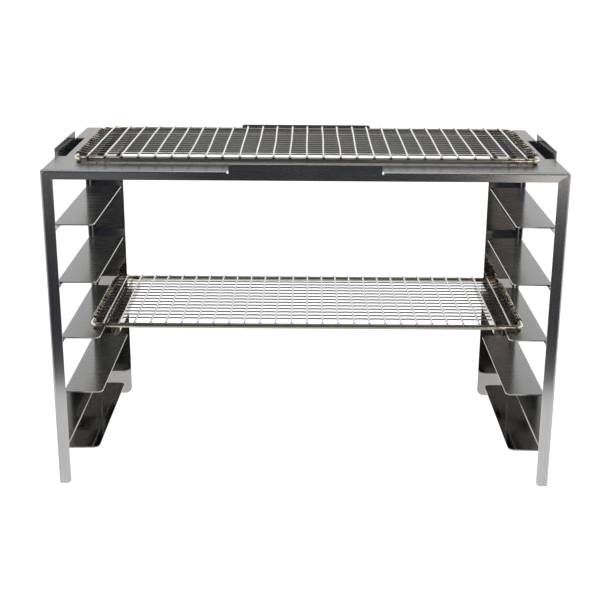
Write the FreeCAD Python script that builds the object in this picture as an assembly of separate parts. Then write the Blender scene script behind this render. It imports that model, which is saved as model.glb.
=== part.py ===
"""Multi-level hibachi grill rack: a folded stainless stand and its two wire nets.

Frame: origin on the floor under the middle of the stand, +Z up, -Y the front, +X the
right-hand side. Millimetres.
"""
import FreeCAD
import Part
import math
import os

V = FreeCAD.Vector
X_AXIS = V(1, 0, 0)
Y_AXIS = V(0, 1, 0)
Z_AXIS = V(0, 0, 1)
HAND = {"left": -1, "right": 1}

# ---- stand: folded stainless sheet ------------------------------------------------------
SHEET = 1.5                  # sheet thickness
BEND = 3.0                   # outside radius of every fold
LENGTH = 615.0               # over the side panels
DEPTH = 300.0                # over the front and rear flanges
DECK_TOP = 400.0             # deck surface above the floor

FRONT_RAIL_DROP = 11.0       # front flange, below the deck surface
REAR_RAIL_DROP = 35.0        # rear flange, below the deck surface
FRONT_LEG_WIDTH = 15.0       # front flange of each side panel
REAR_LEG_WIDTH = 48.5        # rear flange of each side panel, the stop for the nets
FRONT_FOOT_ROUND = 6.0       # bottom corner of the front leg flange
REAR_FOOT_ROUND = 10.0       # bottom corner of the rear leg flange
MITRE_GAP = 0.5              # between the rail flange and the leg flange

DECK_OPENING = (513.0, 194.0)
DECK_OPENING_ROUND = 3.0

END_TAB_LENGTH = 178.0       # nameplate tab at the front and its twin at the rear
FRONT_TAB_RISE = 8.0
REAR_TAB_RISE = 5.0          # both above the deck surface
END_TAB_ROUND = 3.0          # upper corners of the end tabs
END_SLOT_WIDTH = 9.5         # slot that the tab was cut from, from the outer face
SIDE_TAB_LENGTH = 125.0
SIDE_TAB_RISE = 9.5
SIDE_SLOT_WIDTH = 14.0
SIDE_TAB_ROUND = 1.5         # upper corners of the side tabs
RELIEF = 2.0                 # bend relief notch at each end of a tab or fold

# ---- shelves folded out of the side panels ----------------------------------------------
FIRST_SHELF_DROP = 77.0      # deck surface to the top of shelf 1
SHELF_PITCH = 73.0
SHELF_COUNT = 4
SHELF_WIDTH = 50.0           # from the outer face of the side panel
SHELF_ROUND = 7.0
BASE_SHELF_TOP = 26.5        # shelf 5, folded from the bottom edge of the side panel
BASE_SHELF_WIDTH = 42.5
BASE_SHELF_ROUND = 9.0
WINDOW_FRONT = 50.0          # side strip kept in front of the windows
WINDOW_REAR = 26.0           # side strip kept behind them
WEB = 10.0                   # strip kept between one shelf and the window below it
WINDOW_ROUND = 3.0
FLAP_CLEARANCE = 0.5         # between a flap's end and its window

# ---- wire nets --------------------------------------------------------------------------
RIM_WIRE = 6.5
CROSS_WIRE = 2.3             # runs front to back, on top
LONG_WIRE = 1.8              # runs side to side, under the cross wires
CROSS_PITCH = 20.0
CROSS_COUNT = 27
LONG_PITCH = 13.5
LONG_COUNT = 13
NET_END_GAP = 15.0           # last cross wire to the middle of the end rim
NET_SIDE_GAP = 24.0          # last long wire to the middle of the side rim
RIM_ROUND = 9.0              # corner radius on the middle of the rim wire
STAY_OFFSET = 247.0          # channel under the net, from the net's middle
STAY_WIDTH = 11.0
STAY_DROP = 11.5             # below what the net lies on
STAY_WALL = 1.0
STAY_LENGTH = 190.0

TOP_NET_AT = (1.7, -1.0)     # middle of the net on the deck
LOWER_NET_SHIFT = 3.0        # lower net sits slightly right of the middle
LOWER_NET_SHELF = 3          # shelf that carries the lower net
REAR_STOP_GAP = 0.75         # lower net's rim to the rear leg flanges

# ---- worked out from the above ----------------------------------------------------------
HALF_LENGTH = LENGTH / 2
HALF_DEPTH = DEPTH / 2
WINDOW_FROM = -HALF_DEPTH + WINDOW_FRONT
WINDOW_TO = HALF_DEPTH - WINDOW_REAR
SHELF_TOPS = [DECK_TOP - FIRST_SHELF_DROP - SHELF_PITCH * i for i in range(SHELF_COUNT)]
RIM_HALF_LENGTH = CROSS_PITCH * (CROSS_COUNT - 1) / 2 + NET_END_GAP
RIM_HALF_DEPTH = LONG_PITCH * (LONG_COUNT - 1) / 2 + NET_SIDE_GAP
RIM_HEIGHT = LONG_WIRE + RIM_WIRE / 2          # middle of the rim over what the net lies on
LONG_HEIGHT = LONG_WIRE + RIM_WIRE - LONG_WIRE / 2
CROSS_HEIGHT = LONG_WIRE + RIM_WIRE + CROSS_WIRE / 2


def box(x0, x1, y0, y1, z0, z1):
    """A box between two corners, given axis by axis."""
    low = V(min(x0, x1), min(y0, y1), min(z0, z1))
    return Part.makeBox(abs(x1 - x0), abs(y1 - y0), abs(z1 - z0), low)


def prism(corners, along):
    """A closed polygon pushed along a vector."""
    wire = Part.makePolygon(corners + [corners[0]])
    return Part.Face(wire).extrude(along)


def round_edges(shape, radius, wanted):
    """Fillet the edges whose middle and direction pass the test."""
    edges = []
    for edge in shape.Edges:
        if len(edge.Vertexes) == 2 and wanted(edge):
            edges.append(edge)
    return shape.makeFillet(radius, edges)


def runs_along(edge, axis):
    """True if a straight edge is parallel to the axis."""
    chord = edge.Vertexes[1].Point - edge.Vertexes[0].Point
    return abs(abs(chord.dot(axis)) - chord.Length) < 1e-6


def fold(corner, u, v, w, reach_u, reach_v, length):
    """One folded strip: flats along u and v from a rounded outside corner, pushed along w."""
    def at(a, b):
        return corner + u * a + v * b

    inner = BEND - SHEET
    bow = BEND * (1 - math.sqrt(0.5))
    inner_bow = SHEET + inner * (1 - math.sqrt(0.5))
    outline = [Part.Arc(at(BEND, 0), at(bow, bow), at(0, BEND)).toShape()]
    ends = [at(0, BEND), at(0, reach_v), at(SHEET, reach_v), at(SHEET, BEND)]
    outline += lines(ends)
    outline.append(Part.Arc(at(SHEET, BEND), at(inner_bow, inner_bow), at(BEND, SHEET)).toShape())
    ends = [at(BEND, SHEET), at(reach_u, SHEET), at(reach_u, 0), at(BEND, 0)]
    outline += lines(ends)
    return Part.Face(Part.Wire(outline)).extrude(w * length)


def lines(points):
    """Straight edges through the points, without the ones of no length."""
    edges = []
    for start, end in zip(points, points[1:]):
        if start.distanceToPoint(end) > 1e-6:
            edges.append(Part.makeLine(start, end))
    return edges


# ---- deck -------------------------------------------------------------------------------
def deck():
    """Flat top sheet between the folds, as the four strips round the fire opening."""
    flat_x = HALF_LENGTH - BEND
    flat_y = HALF_DEPTH - BEND
    under = DECK_TOP - SHEET
    sheet = box(-flat_x, flat_x, -flat_y, flat_y, under, DECK_TOP)
    long_half, deep_half = DECK_OPENING[0] / 2, DECK_OPENING[1] / 2
    opening = box(-long_half, long_half, -deep_half, deep_half, under - 1, DECK_TOP + 1)
    opening = round_edges(opening, DECK_OPENING_ROUND, lambda e: runs_along(e, Z_AXIS))
    sheet = sheet.cut(opening)
    side = SIDE_TAB_LENGTH / 2 + RELIEF
    end = END_TAB_LENGTH / 2 + RELIEF
    for sign in (-1, 1):
        edge_x = sign * (HALF_LENGTH - SIDE_SLOT_WIDTH)
        edge_y = sign * (HALF_DEPTH - END_SLOT_WIDTH)
        sheet = sheet.cut(box(edge_x, sign * HALF_LENGTH, -side, side, under - 1, DECK_TOP + 1))
        sheet = sheet.cut(box(-end, end, edge_y, sign * HALF_DEPTH, under - 1, DECK_TOP + 1))
    return {
        "deck_front": sheet.common(box(-flat_x, flat_x, -flat_y, -deep_half, under, DECK_TOP)),
        "deck_rear": sheet.common(box(-flat_x, flat_x, deep_half, flat_y, under, DECK_TOP)),
        "deck_left": sheet.common(box(-flat_x, 0, -deep_half, deep_half, under, DECK_TOP)),
        "deck_right": sheet.common(box(0, flat_x, -deep_half, deep_half, under, DECK_TOP)),
    }


# ---- front and rear rails ---------------------------------------------------------------
def mitre_wedge(sign_x, outer_y, inward, leg_width, drop, gap):
    """Everything on the leg's side of the mitre line at one end of a rail, and half the gap more."""
    outer = V(sign_x * HALF_LENGTH, outer_y, DECK_TOP)
    inner = V(sign_x * (HALF_LENGTH - leg_width), outer_y, DECK_TOP - drop)
    line = (inner - outer).normalize()
    across = V(line.z * sign_x, 0, -line.x * sign_x)
    shift = across * (gap / 2)
    corners = [
        outer - line * 20 + shift,
        inner + shift,
        V(inner.x, outer_y, 0) + V(shift.x, 0, -10),
        V(sign_x * (HALF_LENGTH + 20), outer_y, -10),
        V(sign_x * (HALF_LENGTH + 20), outer_y, DECK_TOP + 10),
    ]
    corners = [point - inward * 1 for point in corners]
    return prism(corners, inward * (BEND + SHEET + 2))


def rail(front):
    """Flange folded down from the deck, notched in the middle for its tab."""
    inward = Y_AXIS if front else -Y_AXIS
    drop = FRONT_RAIL_DROP if front else REAR_RAIL_DROP
    leg_width = FRONT_LEG_WIDTH if front else REAR_LEG_WIDTH
    outer_y = -HALF_DEPTH if front else HALF_DEPTH
    fold_y = outer_y + inward.y * BEND
    reach = HALF_LENGTH - BEND
    start = V(-reach, outer_y, DECK_TOP)
    strip = fold(start, inward, -Z_AXIS, X_AXIS, BEND, drop, 2 * reach)
    half = END_TAB_LENGTH / 2 + RELIEF
    strip = strip.cut(box(-half, half, outer_y, fold_y, DECK_TOP - BEND, DECK_TOP))
    for sign in (-1, 1):
        wedge = mitre_wedge(sign, outer_y, inward, leg_width, drop, MITRE_GAP)
        strip = strip.cut(wedge)
    return strip


def end_tab(front):
    """Tab that stands up out of the middle of a rail."""
    outer_y = -HALF_DEPTH if front else HALF_DEPTH
    inner_y = outer_y + (SHEET if front else -SHEET)
    half = END_TAB_LENGTH / 2
    rise = FRONT_TAB_RISE if front else REAR_TAB_RISE
    tab = box(-half, half, outer_y, inner_y, DECK_TOP - BEND, DECK_TOP + rise)
    return round_edges(tab, END_TAB_ROUND, lambda e: runs_along(e, Y_AXIS) and e.CenterOfMass.z > DECK_TOP)


# ---- side panels ------------------------------------------------------------------------
def side_tab(side):
    """Tab that stands up out of the top of a side panel."""
    sign = HAND[side]
    outer = sign * HALF_LENGTH
    inner = sign * (HALF_LENGTH - SHEET)
    half = SIDE_TAB_LENGTH / 2
    tab = box(outer, inner, -half, half, DECK_TOP - BEND, DECK_TOP + SIDE_TAB_RISE)
    return round_edges(tab, SIDE_TAB_ROUND, lambda e: runs_along(e, X_AXIS) and e.CenterOfMass.z > DECK_TOP)


def plate(side, y0, y1, z0, z1):
    """A rectangle of the side sheet."""
    sign = HAND[side]
    return box(sign * HALF_LENGTH, sign * (HALF_LENGTH - SHEET), y0, y1, z0, z1)


def window(side, low, high):
    """One window, right through a side panel, with rounded upper corners."""
    sign = HAND[side]
    hole = box(
        sign * (HALF_LENGTH + 5), sign * (HALF_LENGTH - SHEET - 5),
        WINDOW_FROM, WINDOW_TO, low, high,
    )
    middle = (low + high) / 2
    return round_edges(
        hole, WINDOW_ROUND,
        lambda e: runs_along(e, X_AXIS) and e.CenterOfMass.z > middle,
    )


def top_band(side, ceiling):
    """Fold at the deck's edge and the strip down to the first window, notched for the tab."""
    sign = HAND[side]
    outer = sign * HALF_LENGTH
    start = V(outer, -HALF_DEPTH + BEND, DECK_TOP)
    low = ceiling - WINDOW_ROUND
    band = fold(start, X_AXIS * -sign, -Z_AXIS, Y_AXIS, BEND, DECK_TOP - low, DEPTH - 2 * BEND)
    half = SIDE_TAB_LENGTH / 2 + RELIEF
    notch = box(outer, sign * (HALF_LENGTH - BEND), -half, half, DECK_TOP - BEND, DECK_TOP)
    return band.cut(notch).cut(window(side, low - 20, ceiling))


def side_panel(side):
    """Side sheet between its front and rear folds, as the strips round its four windows."""
    top = DECK_TOP - BEND - WEB
    nodes = {f"{side}_top_band": top_band(side, top)}
    joint = top - WINDOW_ROUND
    front, rear = -HALF_DEPTH + BEND, HALF_DEPTH - BEND
    nodes[f"{side}_front_upright"] = plate(side, front, WINDOW_FROM, 0, joint)
    nodes[f"{side}_rear_upright"] = plate(side, WINDOW_TO, rear, 0, joint)
    for number, shelf_top in enumerate(SHELF_TOPS[:-1], 1):
        ceiling = shelf_top - SHEET - WEB
        low = ceiling - WINDOW_ROUND
        strip = plate(side, WINDOW_FROM, WINDOW_TO, low, shelf_top - BEND)
        nodes[f"{side}_web_{number}"] = strip.cut(window(side, low - 20, ceiling))
    base_fold = BASE_SHELF_TOP - SHEET + BEND
    nodes[f"{side}_lower_panel"] = plate(side, WINDOW_FROM, WINDOW_TO, base_fold, SHELF_TOPS[-1] - BEND)
    return nodes


def front_leg(side):
    """Narrow flange folded round the front of a side panel, mitred at the top."""
    sign = HAND[side]
    start = V(sign * HALF_LENGTH, -HALF_DEPTH, 0)
    height = DECK_TOP - BEND
    strip = fold(start, X_AXIS * -sign, Y_AXIS, Z_AXIS, FRONT_LEG_WIDTH, BEND, height)
    strip = round_edges(
        strip, FRONT_FOOT_ROUND,
        lambda e: runs_along(e, Y_AXIS) and e.CenterOfMass.z < 1
        and abs(e.CenterOfMass.x) < HALF_LENGTH - FRONT_LEG_WIDTH + 1,
    )
    wedge = mitre_wedge(sign, -HALF_DEPTH, Y_AXIS, FRONT_LEG_WIDTH, FRONT_RAIL_DROP, -MITRE_GAP)
    return strip.common(wedge)


def rear_leg(side):
    """Wide flange folded round the back of a side panel, the stop behind the shelves."""
    sign = HAND[side]
    start = V(sign * HALF_LENGTH, HALF_DEPTH, 0)
    height = DECK_TOP - BEND
    strip = fold(start, X_AXIS * -sign, -Y_AXIS, Z_AXIS, REAR_LEG_WIDTH, BEND, height)
    strip = round_edges(
        strip, REAR_FOOT_ROUND,
        lambda e: runs_along(e, Y_AXIS) and e.CenterOfMass.z < 1
        and abs(e.CenterOfMass.x) < HALF_LENGTH - REAR_LEG_WIDTH + 1,
    )
    wedge = mitre_wedge(sign, HALF_DEPTH, -Y_AXIS, REAR_LEG_WIDTH, REAR_RAIL_DROP, -MITRE_GAP)
    return strip.common(wedge)


# ---- shelves ----------------------------------------------------------------------------
def shelf(side, corner_z, up_or_down, width, radius):
    """Flap folded inwards; its fold turns down at a window or up at the panel's bottom edge."""
    sign = HAND[side]
    start = V(sign * HALF_LENGTH, WINDOW_FROM + FLAP_CLEARANCE, corner_z)
    length = WINDOW_TO - WINDOW_FROM - 2 * FLAP_CLEARANCE
    flap = fold(start, X_AXIS * -sign, Z_AXIS * up_or_down, Y_AXIS, width, BEND, length)
    return round_edges(
        flap, radius,
        lambda e: runs_along(e, Z_AXIS) and abs(e.CenterOfMass.x) < HALF_LENGTH - width + 1,
    )


# ---- nets -------------------------------------------------------------------------------
def rim(centre):
    """Round wire bent into a rectangle with rounded corners."""
    a, b, r = RIM_HALF_LENGTH, RIM_HALF_DEPTH, RIM_ROUND
    frame = Part.makePolygon([V(-a, -b, 0), V(a, -b, 0), V(a, b, 0), V(-a, b, 0), V(-a, -b, 0)])
    slab = Part.Face(frame).extrude(V(0, 0, 1))
    slab = round_edges(slab, r, lambda e: runs_along(e, Z_AXIS))
    bottom = min(slab.Faces, key=lambda face: face.CenterOfMass.z)
    path = bottom.OuterWire
    start = V(0, -b, 0)
    section = Part.Wire(Part.makeCircle(RIM_WIRE / 2, start, X_AXIS))
    path = Part.Wire(Part.sortEdges(split_at(path, start))[0])
    ring = path.makePipeShell([section], True, True)
    ring.translate(centre + V(0, 0, RIM_HEIGHT))
    return ring


def split_at(path, start):
    """The edges of a closed path, with the one that holds the start point cut there."""
    edges = []
    for edge in path.Edges:
        if edge.distToShape(Part.Vertex(start))[0] < 1e-6:
            ends = [vertex.Point for vertex in edge.Vertexes]
            edges += [Part.makeLine(ends[0], start), Part.makeLine(start, ends[1])]
        else:
            edges.append(edge)
    return edges


def cross_wires(centre):
    """Front-to-back wires that lie on the rim, one solid each."""
    wires = []
    for i in range(CROSS_COUNT):
        x = (i - (CROSS_COUNT - 1) / 2) * CROSS_PITCH
        start = centre + V(x, -RIM_HALF_DEPTH, CROSS_HEIGHT)
        wires.append(Part.makeCylinder(CROSS_WIRE / 2, 2 * RIM_HALF_DEPTH, start, Y_AXIS))
    return Part.makeCompound(wires)


def eye_ring(middle):
    """Closed loop of a long wire round the rim, with a square section."""
    start = middle - Y_AXIS * (LONG_WIRE / 2)
    outside = Part.makeCylinder(RIM_WIRE / 2 + LONG_WIRE, LONG_WIRE, start, Y_AXIS)
    return outside.cut(Part.makeCylinder(RIM_WIRE / 2, LONG_WIRE, start, Y_AXIS))


def long_wires(centre):
    """Side-to-side wires under the cross wires, one solid each, looped round the end rims."""
    wires = []
    loop = (RIM_WIRE + LONG_WIRE) / 2
    reach = RIM_HALF_LENGTH - math.sqrt(loop ** 2 - (LONG_HEIGHT - RIM_HEIGHT) ** 2)
    for i in range(LONG_COUNT):
        y = (i - (LONG_COUNT - 1) / 2) * LONG_PITCH
        start = centre + V(-reach, y, LONG_HEIGHT)
        wire = Part.makeCylinder(LONG_WIRE / 2, 2 * reach, start, X_AXIS)
        for sign in (-1, 1):
            eye = centre + V(sign * RIM_HALF_LENGTH, y, RIM_HEIGHT)
            wire = wire.fuse(eye_ring(eye))
        wires.append(wire)
    return Part.makeCompound(wires)


def stay(centre, side):
    """Open channel with a round bottom that hangs under the net, front to back."""
    middle = HAND[side] * STAY_OFFSET
    top = LONG_HEIGHT - LONG_WIRE / 2
    outer = STAY_WIDTH / 2
    inner = outer - STAY_WALL
    bend_z = -STAY_DROP + outer

    def at(x, z):
        return centre + V(middle + x, -STAY_LENGTH / 2, z)

    outline = lines([at(-inner, top), at(-outer, top), at(-outer, bend_z)])
    outline.append(Part.Arc(at(-outer, bend_z), at(0, -STAY_DROP), at(outer, bend_z)).toShape())
    outline += lines([at(outer, bend_z), at(outer, top), at(inner, top), at(inner, bend_z)])
    floor_z = bend_z - inner
    outline.append(Part.Arc(at(inner, bend_z), at(0, floor_z), at(-inner, bend_z)).toShape())
    outline += lines([at(-inner, bend_z), at(-inner, top)])
    return Part.Face(Part.Wire(outline)).extrude(Y_AXIS * STAY_LENGTH)


def net(name, centre):
    """All the pieces of one net, by node name."""
    return {
        f"{name}_rim": rim(centre),
        f"{name}_long_wires": long_wires(centre),
        f"{name}_cross_wires": cross_wires(centre),
        f"{name}_left_stay": stay(centre, "left"),
        f"{name}_right_stay": stay(centre, "right"),
    }


# ---- the whole rack ---------------------------------------------------------------------
def rack():
    """Every node of the rack, by name."""
    nodes = deck()
    for end, front in (("front", True), ("rear", False)):
        nodes[f"{end}_rail"] = rail(front)
        nodes[f"{end}_tab"] = end_tab(front)
    for side in HAND:
        nodes.update(side_panel(side))
        nodes[f"{side}_tab"] = side_tab(side)
        nodes[f"{side}_front_leg"] = front_leg(side)
        nodes[f"{side}_rear_leg"] = rear_leg(side)
        for number, top in enumerate(SHELF_TOPS, 1):
            nodes[f"{side}_shelf_{number}"] = shelf(side, top, -1, SHELF_WIDTH, SHELF_ROUND)
        base = shelf(side, BASE_SHELF_TOP - SHEET, 1, BASE_SHELF_WIDTH, BASE_SHELF_ROUND)
        nodes[f"{side}_base_shelf"] = base
    nodes.update(net("top_net", V(TOP_NET_AT[0], TOP_NET_AT[1], DECK_TOP)))
    lower_y = HALF_DEPTH - SHEET - REAR_STOP_GAP - RIM_HALF_DEPTH - RIM_WIRE / 2
    lower_z = SHELF_TOPS[LOWER_NET_SHELF - 1]
    nodes.update(net("lower_net", V(LOWER_NET_SHIFT, lower_y, lower_z)))
    return nodes


os.makedirs("parts", exist_ok=True)
for node_name, shape in rack().items():
    shape.exportStep(f"parts/{node_name}.step")
    print(node_name, "solids", len(shape.Solids), "valid", shape.isValid(), "mm3", round(shape.Volume))
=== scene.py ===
"""Looks of the multi-level grill rack: a brushed, folded stainless stand and its two wire nets.

Metres, in the frame's own axes: origin on the floor under the middle of the stand, +Z up,
-Y the front, +X the right-hand side.
"""
import math
import random

import bpy
from mathutils import Matrix, Vector

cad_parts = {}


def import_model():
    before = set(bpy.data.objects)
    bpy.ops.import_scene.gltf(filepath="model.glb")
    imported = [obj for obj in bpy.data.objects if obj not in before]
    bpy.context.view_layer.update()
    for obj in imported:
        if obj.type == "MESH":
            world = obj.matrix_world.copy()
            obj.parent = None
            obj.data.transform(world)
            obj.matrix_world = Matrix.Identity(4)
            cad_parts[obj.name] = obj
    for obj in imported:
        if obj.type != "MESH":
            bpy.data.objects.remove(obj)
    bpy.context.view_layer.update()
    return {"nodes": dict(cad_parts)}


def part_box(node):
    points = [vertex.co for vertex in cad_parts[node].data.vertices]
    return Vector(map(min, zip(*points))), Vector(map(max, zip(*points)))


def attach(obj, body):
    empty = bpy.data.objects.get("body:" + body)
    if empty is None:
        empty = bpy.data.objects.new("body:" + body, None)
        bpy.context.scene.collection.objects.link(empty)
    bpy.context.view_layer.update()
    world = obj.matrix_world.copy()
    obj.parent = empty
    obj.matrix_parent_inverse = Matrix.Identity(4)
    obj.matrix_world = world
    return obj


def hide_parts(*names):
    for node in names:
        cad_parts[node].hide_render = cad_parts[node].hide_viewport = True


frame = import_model()

MM = 0.001

# ---- camera -----------------------------------------------------------------------------
CAMERA_AT = Vector((0.0028, -1.4755, 0.6718))
CAMERA_SENSOR = 36.0         # sensor width and lens in millimetres
CAMERA_LENS = 68.76
CAMERA_PITCH_DOWN = 18.11    # degrees, as are the next two
CAMERA_YAW = -0.10
CAMERA_ROLL = 0.35

# ---- studio -----------------------------------------------------------------------------
FLOOR_SIZE = 30.0
FLOOR_GLOW = 0.85            # lifts the floor that the camera sees to white
FLOOR_TONE = (0.8, 0.8, 0.8, 1.0)
MIRRORED_FLOOR_AT = -0.5 * MM
TABLE_FRONT = -0.475         # the white table ends here in reflections
TABLE_FADE = 0.02            # half the width of its blurred front edge
TABLE_GLOW = 1.15
WEDGE_SLANT = 0.6            # how fast the floor's lit sides draw apart towards the front
WEDGE_FADE = (0.42, 0.64)    # metres to either side of the middle where they fade in
BACKDROP_LOW = 1.15          # brightness of the backdrop at the horizon, and high up
BACKDROP_HIGH = 0.15
BACKDROP_HEIGHTS = (0.15, 0.65)   # the world's ranges are parts of a unit direction
BACKDROP_FADE = (-0.30, 0.25)
SIDE_GLOW = 0.85
SIDE_FADE = (0.62, 0.85)
OVERHEAD_GLOW = 1.35
OVERHEAD_FADE = (0.88, 0.97)
DARK_ROOM = (0.040, 0.043, 0.052, 1.0)
WHITE = (1.0, 1.0, 1.0, 1.0)
# name, centre, half-width, half-height, colour and strength of each card in front of the rack
CARDS = (
    ("lamp", (1.00, -2.2, 0.27), 0.40, 0.27, (1.0, 0.95, 0.88, 1.0), 3.0),
    ("faint_lamp", (-0.80, -2.2, 0.27), 0.40, 0.27, (0.96, 0.98, 1.0, 1.0), 0.40),
    ("wall", (1.00, -2.2, 1.05), 0.50, 0.50, (1.0, 0.78, 0.58, 1.0), 0.25),
)

# ---- steel ------------------------------------------------------------------------------
BRUSHED_DARK = (0.43, 0.428, 0.425, 1.0)
BRUSHED_LIGHT = (0.60, 0.595, 0.585, 1.0)
BRUSHED_ROUGH = 0.26
ROUGH_SPREAD = 0.03
INNER_ROUGH_SPREAD = 0.02
BRUSH_FINE = 1500.0          # brush lines and clouds per metre
BRUSH_COARSE = 260.0
CLOUDS = 11.0
LINE_STRETCH = 0.012         # scale of the brush lines along them, in parts of that across them
GRAIN_DEPTH = 0.2 * MM       # bump distance of the brush lines and of the wires' grain
INNER_FACING = (0.45, 0.65)  # cosines where the inner finish and the cut edge's painted highlight fade in
CUT_FACING = (0.90, 0.97)
# darker tone, lighter tone and roughness of the inner side, as rolled and where it is rubbed down
MILL = ((0.33, 0.325, 0.315, 1.0), (0.40, 0.395, 0.38, 1.0), 0.06)
SATIN = ((0.52, 0.51, 0.49, 1.0), (0.66, 0.65, 0.62, 1.0), 0.40)
# pale colour of the cut edge that faces one way: a painted highlight
EDGE_HIGHLIGHT = (0.88, 0.87, 0.85, 1.0)
CUT_ROUGH = 0.3
# words in a node's name, the axis of its brush lines, the way its inner side faces on the left,
# the way its cut edge with the painted highlight faces, and the finish of its inner side
SHEET_SIDES = (
    (("base_shelf",), "x", (0, 0, 1), (1, 0, 0), MILL),
    (("shelf",), "x", (0, 0, -1), (1, 0, 0), MILL),
    (("front_leg",), "z", (1, 1, 0), (1, 0, 0), MILL),
    (("rear_leg",), "z", (1, -1, 0), (1, 0, 0), MILL),
    (("left_tab", "right_tab"), "z", (1, 0, 0), (0, 0, 1), MILL),
    (("front_upright", "rear_upright", "web", "lower_panel"), "z", (1, 0, 0), (0, -1, 0), MILL),
    (("top_band",), "z", (1, 0, -1), (0, -1, 0), MILL),
    (("front_rail",), "x", (0, 1, -1), (0, 0, -1), MILL),
    (("rear_rail",), "x", (0, -1, -1), (0, 0, -1), SATIN),
    (("front_tab",), "x", (0, 1, 0), (0, 0, 1), MILL),
    (("rear_tab",), "x", (0, -1, 0), (0, 0, 1), MILL),
    (("deck",), "x", (0, 0, -1), (0, -1, 0), MILL),
)

# ---- nets -------------------------------------------------------------------------------
NETS = ("top_net", "lower_net")
RIM_WIRE = 6.5 * MM
CROSS_WIRE = 2.3 * MM
LONG_WIRE = 1.8 * MM
CROSS_PITCH = 20.0 * MM
CROSS_COUNT = 27
LONG_PITCH = 13.5 * MM
LONG_COUNT = 13
RIM_ROUND = 9.0 * MM
WIRE_SWAY = 0.45 * MM        # slow sideways wander of a cross wire
CRIMP = 0.25 * MM            # up and down wave of the wires where they cross
FRONT_HOOK = 40.0            # how far a cross wire's end turns down round the front rim
REAR_HOOK = 50.0
HOOK_STEPS = 7
CRIMP_STEPS = 4              # points of a wire from one crossing to the next
RIM_SIDES = 20               # sides of each tube
CROSS_SIDES = 10
LONG_SIDES = 8
WELD_SIDES = 8
CROSS_RUN_END = 3.5 * MM     # the crimped part of a wire ends this far inside the rim's middle line
LONG_RUN_END = 7.0 * MM
WELD = 1.9 * MM              # radius of the dark weld under a cross wire's end
WELD_PLACES = (0.35, 0.7, 1.05)   # points of a weld, in parts of the hook's turn
CORNER_STEPS = 8
LOOP_START = -35.0           # a long wire meets the rim here, in degrees from straight up
LOOP_TURN = 300.0
LOOP_STEPS = 18
LOOP_ASIDE = 1.9 * MM        # how far the loop winds along the rim
TAIL_BEND = (5.0 * MM, 2.6 * MM, -0.8 * MM)   # inwards, along the rim, and over the long wires
TAIL_TIP = (9.0 * MM, 4.2 * MM, 0.6 * MM)
TAIL_SPREAD = 1.5 * MM
SLANT = 0.3 * MM             # how far a long wire's ends are off its line
LEAN = 0.4 * MM              # how far a cross wire's ends are off its line
SPOTS = 90.0                 # heat spots and grain per metre
GRAIN = 900.0
HEAT_WOBBLE = 0.05           # how far the spots move the edge of the heat tint
# how far the sides facing out of the net lean to the tint's lighter colour: a painted highlight
OUTER_HIGHLIGHT = 0.22
HEAT_POLISH = 0.6            # roughness of the tinted ends, in parts of the middle's

# ---- wire colours -----------------------------------------------------------------------
BRIGHT = (0.84, 0.84, 0.82, 1.0)
WARM = (0.78, 0.76, 0.72, 1.0)
DULL = (0.22, 0.217, 0.212, 1.0)
OLIVE = (0.44, 0.42, 0.36, 1.0)
SOOT = (0.09, 0.085, 0.08, 1.0)
GRIME = (0.25, 0.23, 0.2, 1.0)
BLACK = (0.0, 0.0, 0.0, 1.0)
# darker and lighter colour of the heat tint
BRONZE = ((0.34, 0.22, 0.14, 1.0), (0.98, 0.91, 0.76, 1.0))
BURNT = ((0.10, 0.07, 0.05, 1.0), (0.30, 0.20, 0.12, 1.0))
# darker and paler colour of the stays' side walls: a painted highlight
STAY_WALL_HIGHLIGHT = ((0.62, 0.57, 0.50, 1.0), (0.84, 0.81, 0.76, 1.0))
STAY_FRONT = ((0.22, 0.14, 0.09, 1.0), (0.50, 0.38, 0.28, 1.0))
# colour of the stays' bottom behind its front end, under the net: painted shade
STAY_BACK_SHADE = (0.045, 0.036, 0.03, 1.0)


# ---- meshes -----------------------------------------------------------------------------
def mesh_object(name, verts, faces):
    """A new smooth mesh object from vertices and faces."""
    mesh = bpy.data.meshes.new(name)
    mesh.from_pydata(verts, [], faces)
    mesh.validate()
    for polygon in mesh.polygons:
        polygon.use_smooth = True
    obj = bpy.data.objects.new(name, mesh)
    bpy.context.scene.collection.objects.link(obj)
    return obj


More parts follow.
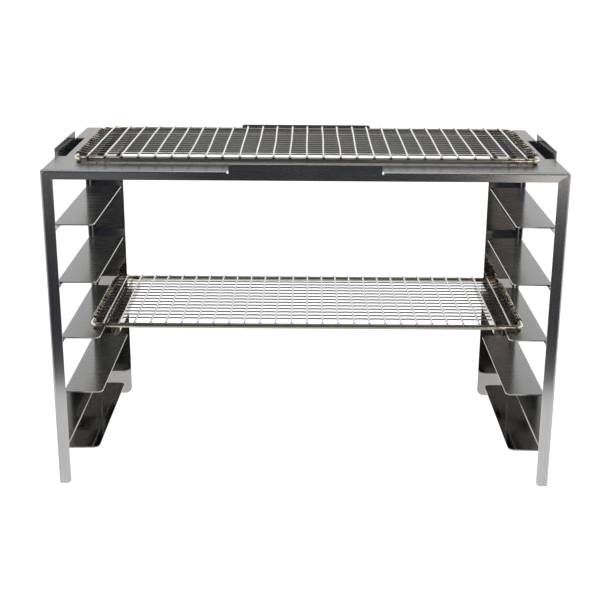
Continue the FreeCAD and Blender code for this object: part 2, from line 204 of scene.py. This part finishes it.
class Tubes:
    """Gathers round wires that follow lists of points into one mesh."""

    def __init__(self, sides):
        self.sides = sides
        self.verts = []
        self.faces = []

    def add(self, points, radius, closed=False):
        """One wire along the points; an open wire gets domed ends."""
        count = len(points)
        first = len(self.verts)
        normal = None
        for i, point in enumerate(points):
            if closed:
                along = points[(i + 1) % count] - points[i - 1]
            else:
                along = points[min(i + 1, count - 1)] - points[max(i - 1, 0)]
            along.normalize()
            if normal is None:
                normal = along.orthogonal().normalized()
            normal = (normal - along * normal.dot(along)).normalized()
            binormal = along.cross(normal)
            for k in range(self.sides):
                turn = 2 * math.pi * k / self.sides
                spoke = normal * math.cos(turn) + binormal * math.sin(turn)
                self.verts.append(point + spoke * radius)
        rings = count if closed else count - 1
        for i in range(rings):
            here = first + i * self.sides
            there = first + ((i + 1) % count) * self.sides
            for k in range(self.sides):
                after = (k + 1) % self.sides
                self.faces.append((here + k, here + after, there + after, there + k))
        if not closed:
            last = first + (count - 1) * self.sides
            self.dome(points[0], points[0] - points[1], first, radius, True)
            self.dome(points[-1], points[-1] - points[-2], last, radius, False)

    def dome(self, centre, outward, ring, radius, flip):
        """A slightly rounded cut end on an open wire."""
        outward = outward.normalized()
        inner = len(self.verts)
        for k in range(self.sides):
            spoke = self.verts[ring + k] - centre
            self.verts.append(centre + spoke * 0.75 + outward * radius * 0.35)
        tip = len(self.verts)
        self.verts.append(centre + outward * radius * 0.45)
        for k in range(self.sides):
            after = (k + 1) % self.sides
            side = (ring + k, ring + after, inner + after, inner + k)
            cap = (inner + k, inner + after, tip)
            self.faces.append(side[::-1] if flip else side)
            self.faces.append(cap[::-1] if flip else cap)

    def build(self, name):
        """The finished mesh object."""
        return mesh_object(name, self.verts, self.faces)


# ---- shader helpers ---------------------------------------------------------------------
class Shader:
    """A material or world node tree, with short calls for the nodes used here."""

    def __init__(self, owner):
        owner.use_nodes = True
        self.tree = owner.node_tree
        self.tree.nodes.clear()

    def node(self, kind, **values):
        """A new node; values are its properties, or inputs by name with spaces as underscores."""
        made = self.tree.nodes.new(kind)
        for key, value in values.items():
            label = key.replace("_", " ")
            sockets = [s for s in made.inputs if s.name.lower() == label.lower()]
            if sockets:
                self.set(sockets[0], value)
            else:
                setattr(made, key, value)
        return made

    def set(self, socket, value):
        """Link a socket to another, or give it a constant."""
        if isinstance(value, bpy.types.NodeSocket):
            self.tree.links.new(value, socket)
        else:
            socket.default_value = value

    def math(self, operation, a, b=0.0):
        """One arithmetic step."""
        made = self.node("ShaderNodeMath", operation=operation)
        self.set(made.inputs[0], a)
        self.set(made.inputs[1], b)
        return made.outputs[0]

    def ramp(self, value, low, high, out_low=0.0, out_high=1.0):
        """Map low..high smoothly to out_low..out_high, clamped."""
        made = self.node("ShaderNodeMapRange", interpolation_type="SMOOTHSTEP")
        self.set(made.inputs[0], value)
        for i, number in enumerate((low, high, out_low, out_high), 1):
            self.set(made.inputs[i], number)
        return made.outputs[0]

    def mix(self, share, a, b):
        """Blend two colours."""
        made = self.node("ShaderNodeMix", data_type="RGBA")
        self.set(made.inputs[0], share)
        self.set(made.inputs[6], a)
        self.set(made.inputs[7], b)
        return made.outputs[2]

    def blend(self, share, a, b):
        """Blend two numbers."""
        made = self.node("ShaderNodeMix", data_type="FLOAT")
        self.set(made.inputs[0], share)
        self.set(made.inputs[2], a)
        self.set(made.inputs[3], b)
        return made.outputs[0]

    def output(self, surface, kind="ShaderNodeOutputMaterial"):
        """Make a shader the tree's surface."""
        made = self.node(kind)
        self.set(made.inputs[0], surface.outputs[0])

    def facing(self, normal, direction):
        """Cosine between a normal and a fixed direction."""
        made = self.node("ShaderNodeVectorMath", operation="DOT_PRODUCT")
        self.set(made.inputs[0], normal)
        made.inputs[1].default_value = Vector(direction).normalized()
        return made.outputs["Value"]

    def noise(self, at, scale, detail=3.0, rough=0.5, stretch=(1.0, 1.0, 1.0)):
        """Noise at a position, stretched along some axes."""
        mapped = self.node("ShaderNodeMapping", Vector=at, Scale=stretch)
        made = self.node("ShaderNodeTexNoise", Vector=mapped.outputs[0], Scale=scale)
        made.inputs["Detail"].default_value = detail
        made.inputs["Roughness"].default_value = rough
        return made.outputs[0]


# ---- materials --------------------------------------------------------------------------
def steel(name, lines, inside, edge, finish):
    """Stainless sheet: brushed along one axis outside, its own finish inside, and a painted highlight
    on the cut edge that faces one way.
    """
    material = bpy.data.materials.new(name)
    s = Shader(material)
    coordinates = s.node("ShaderNodeTexCoord")
    at = coordinates.outputs["Object"]
    bare = s.ramp(s.facing(coordinates.outputs["Normal"], inside), *INNER_FACING)
    # painted highlight: the cut edge faces that face one way get a pale colour
    edge_highlight = s.ramp(s.facing(coordinates.outputs["Normal"], edge), *CUT_FACING)
    along = [LINE_STRETCH if axis == lines else 1.0 for axis in "xyz"]
    fine = s.noise(at, BRUSH_FINE, 3.0, 0.6, along)
    coarse = s.noise(at, BRUSH_COARSE, 4.0, 0.65, along)
    cloud = s.noise(at, CLOUDS, 4.0, 0.55)
    streak = s.math("ADD", s.math("MULTIPLY", fine, 0.45), s.math("MULTIPLY", coarse, 0.55))
    tone = s.math("ADD", s.math("MULTIPLY", streak, 0.7), s.math("MULTIPLY", cloud, 0.3))
    brushed = s.mix(s.ramp(tone, 0.30, 0.70), BRUSHED_DARK, BRUSHED_LIGHT)
    dark, light, roughness = finish
    mill = s.mix(s.ramp(cloud, 0.30, 0.70), dark, light)
    rough = s.ramp(tone, 0.30, 0.70, BRUSHED_ROUGH - ROUGH_SPREAD, BRUSHED_ROUGH + ROUGH_SPREAD)
    smooth = s.ramp(cloud, 0.30, 0.70, roughness - INNER_ROUGH_SPREAD, roughness + INNER_ROUGH_SPREAD)
    height = s.math("MULTIPLY", streak, s.math("SUBTRACT", 1.0, bare))
    bump = s.node("ShaderNodeBump", Strength=0.06, Distance=GRAIN_DEPTH, Height=height)
    direction = [1.0 if axis == lines else 0.01 for axis in "xyz"]
    turned = s.node("ShaderNodeVectorTransform", vector_type="VECTOR", Vector=direction)
    turned.convert_from = "OBJECT"
    turned.convert_to = "WORLD"
    shader = s.node("ShaderNodeBsdfPrincipled", Metallic=1.0)
    s.set(shader.inputs["Anisotropic"], 0.9)
    s.set(shader.inputs["Anisotropic Rotation"], 0.25)
    s.set(shader.inputs["Base Color"], s.mix(edge_highlight, s.mix(bare, brushed, mill), EDGE_HIGHLIGHT))
    s.set(shader.inputs["Roughness"], s.blend(edge_highlight, s.blend(bare, rough, smooth), CUT_ROUGH))
    s.set(shader.inputs["Normal"], bump.outputs[0])
    s.set(shader.inputs["Tangent"], turned.outputs[0])
    s.output(shader)
    return material


def wire_metal(name, middle, ends, heat_from, heat_to, rough, crown=1.0):
    """Drawn wire: one colour in the middle of the net, heat-tinted towards its two ends.

    The tint is palest on the sides that face out of the net, as a painted highlight. The crown is how
    much of the middle's colour is left on the side that faces up; the rest is painted shade, darkened
    towards black.
    """
    material = bpy.data.materials.new(name)
    s = Shader(material)
    coordinates = s.node("ShaderNodeTexCoord")
    at = coordinates.outputs["Object"]
    split = s.node("ShaderNodeSeparateXYZ", Vector=at)
    spots = s.noise(at, SPOTS, 4.0, 0.6)
    fine = s.noise(at, GRAIN, 3.0, 0.6)
    reach = s.math("ABSOLUTE", split.outputs[0])
    reach = s.math("ADD", reach, s.math("MULTIPLY", s.math("SUBTRACT", spots, 0.5), HEAT_WOBBLE))
    heat = s.ramp(reach, heat_from, heat_to)
    # painted highlight: the sides facing out of the net get more of the tint's lighter colour
    outward = s.facing(coordinates.outputs["Normal"], (1, 0, 0))
    outward = s.math("MULTIPLY", outward, s.math("SIGN", split.outputs[0]))
    spots_and_highlight = s.math("ADD", spots, s.math("MULTIPLY", outward, OUTER_HIGHLIGHT))
    tint_and_highlight = s.mix(s.ramp(spots_and_highlight, 0.42, 0.60), ends[0], ends[1])
    colour = s.mix(heat, middle, tint_and_highlight)
    colour = s.mix(s.ramp(fine, 0.35, 0.75, 0.0, 0.25), colour, GRIME)
    # painted shade: the side that faces up is darkened towards black, away from the tinted ends
    up = s.facing(coordinates.outputs["Normal"], (0, 0, 1))
    top_shade = s.math("MULTIPLY", s.ramp(up, 0.35, 0.80, 0.0, 1.0 - crown), s.math("SUBTRACT", 1.0, heat))
    colour = s.mix(top_shade, colour, BLACK)
    bump = s.node("ShaderNodeBump", Strength=0.15, Distance=GRAIN_DEPTH, Height=fine)
    shader = s.node("ShaderNodeBsdfPrincipled", Base_Color=colour, Metallic=1.0)
    s.set(shader.inputs["Roughness"], s.blend(heat, rough, rough * HEAT_POLISH))
    s.set(shader.inputs["Normal"], bump.outputs[0])
    s.output(shader)
    return material


def channel_metal():
    """The stays' strip: side walls with a painted highlight, and a bottom that is brown in front and
    darkened behind with painted shade under the net.
    """
    material = bpy.data.materials.new("stay_steel")
    s = Shader(material)
    coordinates = s.node("ShaderNodeTexCoord")
    along = s.node("ShaderNodeSeparateXYZ", Vector=coordinates.outputs["Generated"]).outputs[1]
    spots = s.noise(coordinates.outputs["Object"], SPOTS, 4.0, 0.6)
    wall = s.math("ABSOLUTE", s.facing(coordinates.outputs["Normal"], (1, 0, 0)))
    # painted highlight on the side walls
    wall_highlight = s.mix(s.ramp(spots, 0.35, 0.65), *STAY_WALL_HIGHLIGHT)
    brown = s.mix(s.ramp(spots, 0.40, 0.60), *STAY_FRONT)
    # painted shade: the bottom darkens behind its front end, under the net
    shaded_bottom = s.mix(s.ramp(along, 0.03, 0.16), brown, STAY_BACK_SHADE)
    shader = s.node("ShaderNodeBsdfPrincipled", Metallic=1.0, Roughness=0.28)
    s.set(shader.inputs["Base Color"], s.mix(s.ramp(wall, 0.85, 0.97), shaded_bottom, wall_highlight))
    s.output(shader)
    return material


def dress_stand():
    """Steel on every node of the stand, with brush lines and an inner side that follow the folds."""
    made = {}
    for name, obj in frame["nodes"].items():
        if name.startswith(NETS):
            continue
        inward = 1 if name.startswith("left") else -1
        for words, lines, inside, edge, finish in SHEET_SIDES:
            if any(word in name for word in words):
                break
        inside = (inside[0] * inward, inside[1], inside[2])
        edge = (edge[0] * inward, edge[1], edge[2])
        key = (lines, inside, edge, finish)
        if key not in made:
            made[key] = steel(f"steel_{len(made) + 1}", lines, inside, edge, finish)
        paint(obj, made[key])


def paint(obj, material):
    """Give an object one material."""
    obj.data.materials.clear()
    obj.data.materials.append(material)


# ---- nets -------------------------------------------------------------------------------
def crimp(at, pitch):
    """Height of a crimped wire's wave at a place along it."""
    return CRIMP * (0.5 + 0.5 * math.cos(2 * math.pi * at / pitch))


class Net:
    """The places on one net, taken from its CAD nodes; all its pieces share one origin."""

    def __init__(self, name):
        low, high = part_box(f"{name}_rim")
        self.name = name
        self.origin = Vector(((low.x + high.x) / 2, (low.y + high.y) / 2, low.z - LONG_WIRE))
        self.half_x = (high.x - low.x - RIM_WIRE) / 2
        self.half_y = (high.y - low.y - RIM_WIRE) / 2
        self.rim_z = LONG_WIRE + RIM_WIRE / 2
        self.long_z = LONG_WIRE + RIM_WIRE - LONG_WIRE / 2
        self.cross_z = LONG_WIRE + RIM_WIRE + CROSS_WIRE / 2
        self.chance = random.Random(name)
        self.crossings = [self.crossing(i) for i in range(CROSS_COUNT)]

    def crossing(self, i):
        """The line of one cross wire: a function that gives its x at a y."""
        x = (i - (CROSS_COUNT - 1) / 2) * CROSS_PITCH
        lean = self.chance.uniform(-1, 1) * LEAN
        swing = self.chance.uniform(0.5, 1.0) * WIRE_SWAY
        phase = self.chance.uniform(0, 2 * math.pi)
        waves = self.chance.uniform(0.5, 1.3)

        def wander(y):
            share = y / self.half_y
            ends = 1 - share ** 4
            return x + lean * share + swing * ends * math.sin(phase + waves * math.pi * share)

        return wander

    def place(self, tubes, piece, material, slot, stands_for):
        """Build a piece, put it on the net's origin and hand it to the net's body."""
        obj = tubes.build(f"{self.name}_{piece}")
        obj.location = self.origin
        paint(obj, material)
        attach(obj, self.name)
        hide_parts(f"{self.name}_{stands_for}")

    def rim(self):
        """The round rim, a rectangle with rounded corners."""
        points = []
        x, y, r = self.half_x, self.half_y, RIM_ROUND
        corners = ((x - r, -y + r, -90), (x - r, y - r, 0), (-x + r, y - r, 90), (-x + r, -y + r, 180))
        for at_x, at_y, start in corners:
            for step in range(CORNER_STEPS + 1):
                turn = math.radians(start + step * 90 / CORNER_STEPS)
                corner = Vector((at_x, at_y, self.rim_z))
                points.append(corner + Vector((r * math.cos(turn), r * math.sin(turn), 0)))
        tubes = Tubes(RIM_SIDES)
        tubes.add(points, RIM_WIRE / 2, closed=True)
        return tubes

    def welds(self):
        """A small dark bead on the rim under each end of each cross wire."""
        tubes = Tubes(WELD_SIDES)
        for wander in self.crossings:
            for sign, reach in ((-1, FRONT_HOOK), (1, REAR_HOOK)):
                bead = []
                for place in WELD_PLACES:
                    angle = math.radians(place * reach)
                    y = sign * (self.half_y + RIM_WIRE / 2 * math.sin(angle))
                    x = wander(sign * self.half_y)
                    bead.append(Vector((x, y, self.rim_z + RIM_WIRE / 2 * math.cos(angle))))
                tubes.add(bead, WELD)
        return tubes

    def cross_wires(self):
        """Front-to-back wires that lie on the rim and turn down round it at both ends."""
        tubes = Tubes(CROSS_SIDES)
        for wander in self.crossings:
            points = self.hook(wander, -1, FRONT_HOOK)[::-1]
            run = self.half_y - CROSS_RUN_END
            steps = CRIMP_STEPS * (LONG_COUNT + 1)
            for k in range(steps + 1):
                y = -run + 2 * run * k / steps
                points.append(Vector((wander(y), y, self.cross_z - CRIMP + crimp(y, LONG_PITCH))))
            points += self.hook(wander, 1, REAR_HOOK)
            tubes.add(points, CROSS_WIRE / 2)
        return tubes

    def hook(self, wander, sign, reach):
        """The end of a cross wire, from the top of the rim outwards and down."""
        radius = (RIM_WIRE + CROSS_WIRE) / 2
        x = wander(sign * self.half_y)
        points = []
        for step in range(HOOK_STEPS + 1):
            turn = math.radians(reach * step / HOOK_STEPS)
            y = sign * (self.half_y + radius * math.sin(turn))
            points.append(Vector((x, y, self.rim_z + radius * math.cos(turn))))
        return points

    def long_wires(self):
        """Side-to-side wires under the cross wires, each looped round the end rims."""
        tubes = Tubes(LONG_SIDES)
        for i in range(LONG_COUNT):
            y = (i - (LONG_COUNT - 1) / 2) * LONG_PITCH
            slant = self.chance.uniform(-1, 1) * SLANT
            points = self.loop(y - slant, -1)[::-1]
            run = self.half_x - LONG_RUN_END
            steps = CRIMP_STEPS * CROSS_COUNT
            for k in range(steps + 1):
                x = -run + 2 * run * k / steps
                points.append(Vector((x, y + slant * x / run, self.long_z - crimp(x, CROSS_PITCH))))
            points += self.loop(y + slant, 1)
            tubes.add(points, LONG_WIRE / 2)
        return tubes

    def loop(self, y, sign):
        """A long wire's end: over the rim, round it, and back inwards in a short slanting tail."""
        radius = (RIM_WIRE + LONG_WIRE) / 2
        points = []
        for step in range(LOOP_STEPS + 1):
            turn = math.radians(LOOP_START + LOOP_TURN * step / LOOP_STEPS)
            aside = LOOP_ASIDE * step / LOOP_STEPS
            x = self.half_x + radius * math.sin(turn)
            points.append(Vector((sign * x, y + aside, self.rim_z + radius * math.cos(turn))))
        spread = self.chance.uniform(0, TAIL_SPREAD)
        for (inwards, aside, over), longer in ((TAIL_BEND, 0.0), (TAIL_TIP, spread)):
            x = self.half_x - inwards - longer
            points.append(Vector((sign * x, y + aside, self.long_z + over)))
        return points


def nets():
    """Crimped, hooked and looped wires in place of both nets' CAD rods, and the stays' finish with
    painted highlight and painted shade.
    """
    cross = wire_metal("cross_wire_steel", BRIGHT, (WARM, BRIGHT), 0.24, 0.27, 0.22)
    long = wire_metal("long_wire_steel", DULL, BRONZE, 0.270, 0.279, 0.30)
    # the rim's top gets painted shade (crown 0.72)
    rod = wire_metal("rim_steel", OLIVE, BRONZE, 0.215, 0.265, 0.38, 0.72)
    bead = wire_metal("weld_steel", SOOT, BURNT, 0.22, 0.26, 0.40)
    channel = channel_metal()
    for name in NETS:
        net = Net(name)
        net.place(net.rim(), "rim_wire", rod, "net_rim", "rim")
        net.place(net.welds(), "rim_welds", bead, "net_rim", "rim")
        net.place(net.cross_wires(), "crimped_cross_wires", cross, "net_wire", "cross_wires")
        net.place(net.long_wires(), "wrapped_long_wires", long, "net_wire", "long_wires")
        for side in ("left", "right"):
            paint(frame["nodes"][f"{name}_{side}_stay"], channel)


# ---- camera and studio ------------------------------------------------------------------
def camera():
    """The scene's camera, at the product view's height and distance."""
    pitch = math.radians(CAMERA_PITCH_DOWN)
    yaw = math.radians(CAMERA_YAW)
    roll = math.radians(CAMERA_ROLL)
    level = Vector((math.sin(yaw), math.cos(yaw), 0))
    forward = level * math.cos(pitch) - Vector((0, 0, math.sin(pitch)))
    right = Vector((math.cos(yaw), -math.sin(yaw), 0))
    up = right.cross(forward)
    across = right * math.cos(roll) + up * math.sin(roll)
    upward = up * math.cos(roll) - right * math.sin(roll)
    turn = Matrix((across, upward, -forward)).transposed().to_4x4()
    data = bpy.data.cameras.new("camera")
    data.sensor_width = CAMERA_SENSOR
    data.lens = CAMERA_LENS
    data.clip_start = 0.05
    data.clip_end = 60.0
    obj = bpy.data.objects.new("camera", data)
    bpy.context.scene.collection.objects.link(obj)
    obj.matrix_world = Matrix.Translation(CAMERA_AT) @ turn
    bpy.context.scene.camera = obj


def card(name, centre, half_width, half_height, colour, strength):
    """An upright glowing card, facing the rack and not seen by the camera."""
    centre = Vector(centre)
    right = Vector((half_width, 0, 0))
    up = Vector((0, 0, half_height))
    verts = [centre - right - up, centre + right - up, centre + right + up, centre - right + up]
    obj = mesh_object(name, verts, [(0, 1, 2, 3)])
    material = bpy.data.materials.new(name)
    s = Shader(material)
    glow = s.node("ShaderNodeEmission", Color=colour, Strength=strength)
    s.output(glow)
    paint(obj, material)
    obj.visible_camera = False
    obj.visible_shadow = False


def level_card(name, height):
    """A large level square at a height, as a studio piece without a material."""
    half = FLOOR_SIZE / 2
    verts = [(-half, -half, height), (half, -half, height), (half, half, height), (-half, half, height)]
    obj = mesh_object(name, verts, [(0, 1, 2, 3)])
    return obj


def floor():
    """A pale floor that the camera sees, white all over."""
    obj = level_card("floor", 0.0)
    material = bpy.data.materials.new("floor")
    s = Shader(material)
    glow = s.node("ShaderNodeEmission", Color=WHITE, Strength=FLOOR_GLOW)
    matt = s.node("ShaderNodeBsdfDiffuse", Color=FLOOR_TONE)
    both = s.node("ShaderNodeAddShader")
    s.set(both.inputs[0], glow.outputs[0])
    s.set(both.inputs[1], matt.outputs[0])
    s.output(both)
    paint(obj, material)
    obj.visible_glossy = False


def mirrored_floor():
    """What the metal sees below the horizon: a white table, lit sides, and a dark room in front."""
    obj = level_card("mirrored_floor", MIRRORED_FLOOR_AT)
    material = bpy.data.materials.new("mirrored_floor")
    s = Shader(material)
    at = s.node("ShaderNodeTexCoord").outputs["Object"]
    x, y, _ = s.node("ShaderNodeSeparateXYZ", Vector=at).outputs
    table = s.ramp(y, TABLE_FRONT - TABLE_FADE, TABLE_FRONT + TABLE_FADE)
    wedge = s.math("ADD", s.math("ABSOLUTE", x), s.math("MULTIPLY", y, WEDGE_SLANT))
    aside = s.ramp(wedge, *WEDGE_FADE, 0.0, SIDE_GLOW)
    share = s.math("MAXIMUM", s.math("MULTIPLY", table, TABLE_GLOW), aside)
    glow = s.node("ShaderNodeEmission", Color=s.mix(share, DARK_ROOM, WHITE), Strength=1.0)
    s.output(glow)
    paint(obj, material)
    obj.visible_camera = False
    obj.visible_diffuse = False
    obj.visible_shadow = False


def studio():
    """Both floors, a lamp and a brown wall at the front right, and a faint lamp at the front left."""
    floor()
    mirrored_floor()
    for row in CARDS:
        card(*row)


def world():
    """White to the camera; to the metal, a bright backdrop, sides and ceiling and a dark front."""
    sky = bpy.data.worlds.new("studio")
    bpy.context.scene.world = sky
    s = Shader(sky)
    at = s.node("ShaderNodeTexCoord").outputs["Generated"]
    x, y, z = s.node("ShaderNodeSeparateXYZ", Vector=at).outputs
    fading = s.ramp(z, *BACKDROP_HEIGHTS, BACKDROP_LOW, BACKDROP_HIGH)
    back = s.math("MULTIPLY", s.ramp(y, *BACKDROP_FADE), fading)
    side = s.ramp(s.math("ABSOLUTE", x), *SIDE_FADE, 0.0, SIDE_GLOW)
    overhead = s.ramp(z, *OVERHEAD_FADE, 0.0, OVERHEAD_GLOW)
    glow = s.math("MAXIMUM", s.math("MAXIMUM", back, side), overhead)
    tint = s.mix(glow, DARK_ROOM, WHITE)
    seen = s.node("ShaderNodeLightPath").outputs["Is Camera Ray"]
    lit = s.node("ShaderNodeBackground", Color=tint, Strength=s.math("MAXIMUM", glow, 1.0))
    blank = s.node("ShaderNodeBackground", Color=WHITE, Strength=1.0)
    both = s.node("ShaderNodeMixShader")
    s.set(both.inputs[0], seen)
    s.set(both.inputs[1], lit.outputs[0])
    s.set(both.inputs[2], blank.outputs[0])
    s.output(both, "ShaderNodeOutputWorld")


dress_stand()
nets()
camera()
studio()
world()
bpy.context.scene.view_settings.view_transform = "Standard"
